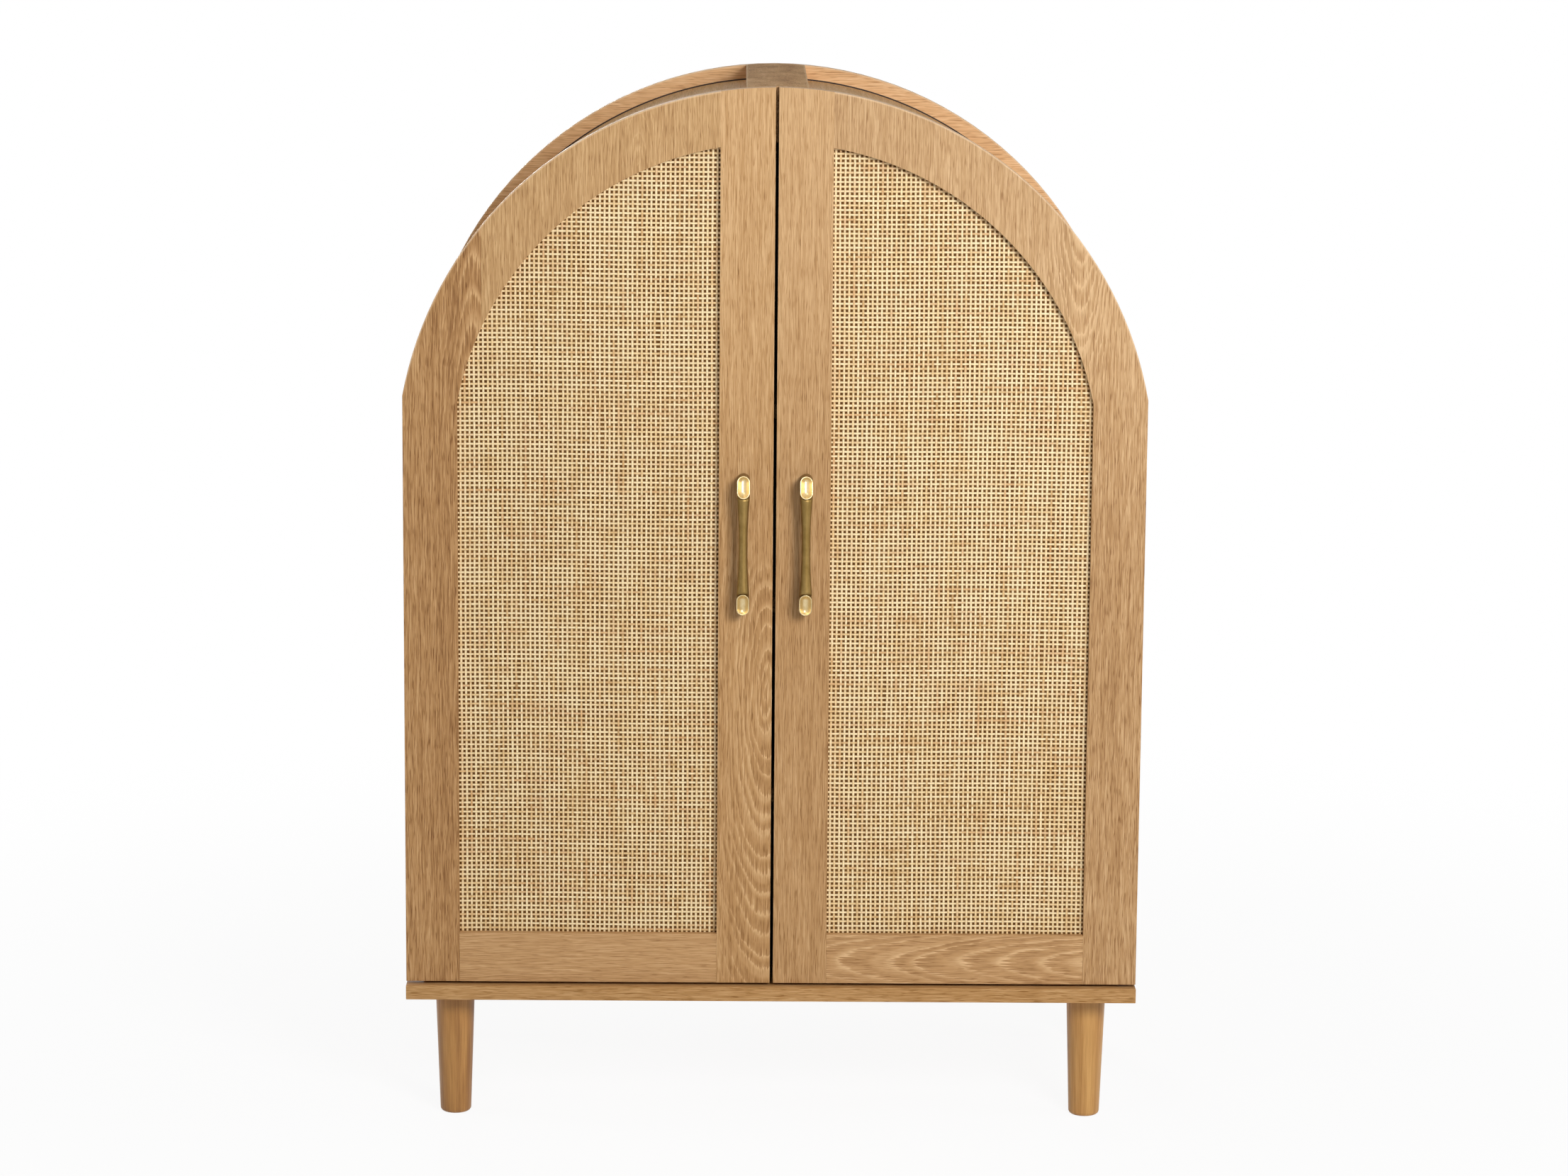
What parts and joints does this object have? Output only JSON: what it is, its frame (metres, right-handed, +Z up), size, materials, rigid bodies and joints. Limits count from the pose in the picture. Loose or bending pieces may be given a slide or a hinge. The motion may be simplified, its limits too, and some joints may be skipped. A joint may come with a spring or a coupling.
{
  "type": "cabinet",
  "caption": "Tall arched cabinet in light oak with a pair of cane-fronted doors, scooped brass bar handles and tapered round legs.",
  "frame": {"origin": "on the floor, under the middle of the cabinet's box, handles included", "axes": "+X to the right as seen from the front, +Y from the doors to the back, +Z up"},
  "size_m": [0.8, 0.428, 1.138],
  "materials": {
    "oak": "matt lacquered light oak veneer",
    "ridge_oak": "matt oak, end of the veneer showing",
    "leg_oak": "satin lacquered solid oak",
    "cane": "natural woven cane",
    "brass": "satin brushed",
    "steel": "zinc plated",
    "magnet": "dark coated magnet"
  },
  "bodies": {
    "carcass": {"base_board": "oak", "left_side_panel": "oak", "right_side_panel": "oak", "left_roof_panel": "oak", "right_roof_panel": "oak", "ridge_beam": "ridge_oak", "back_panel": "oak", "lower_shelf": "oak", "middle_shelf": "oak", "upper_shelf": "oak", "shelf_pins": "steel", "front_legs": "leg_oak", "rear_legs": "leg_oak", "leg_bolts": "steel", "shell_tongues": "oak", "back_screws": "steel", "catch_magnets": "magnet", "left_hinge_side_leaves": "brass", "left_hinge_pins": "brass", "left_hinge_side_screws": "brass", "right_hinge_side_leaves": "brass", "right_hinge_pins": "brass", "right_hinge_side_screws": "brass"},
    "left_door": {"left_outer_stile": "oak", "left_inner_stile": "oak", "left_arch_rail": "oak", "left_bottom_rail": "oak", "left_cane_panel": "cane", "left_cane_beads": "oak", "left_hinge_door_leaves": "brass", "left_door_screws": "brass", "left_strike_plate": "steel", "left_handle": "brass", "left_handle_screws": "steel"},
    "right_door": {"right_outer_stile": "oak", "right_inner_stile": "oak", "right_arch_rail": "oak", "right_bottom_rail": "oak", "right_cane_panel": "cane", "right_cane_beads": "oak", "right_hinge_door_leaves": "brass", "right_door_screws": "brass", "right_strike_plate": "steel", "right_handle": "brass", "right_handle_screws": "steel"}
  },
  "joints": [
    {"name": "right_door_hinge", "type": "hinge", "parent": "carcass", "child": "right_door", "pos_m": [0.3875, -0.1665, 0.4817], "axis": [0, 0, 1], "range_deg": [0, 110]},
    {"name": "left_door_hinge", "type": "hinge", "parent": "carcass", "child": "left_door", "pos_m": [-0.3875, -0.1665, 0.4817], "axis": [0, 0, -1], "range_deg": [0, 110]}
  ]
}
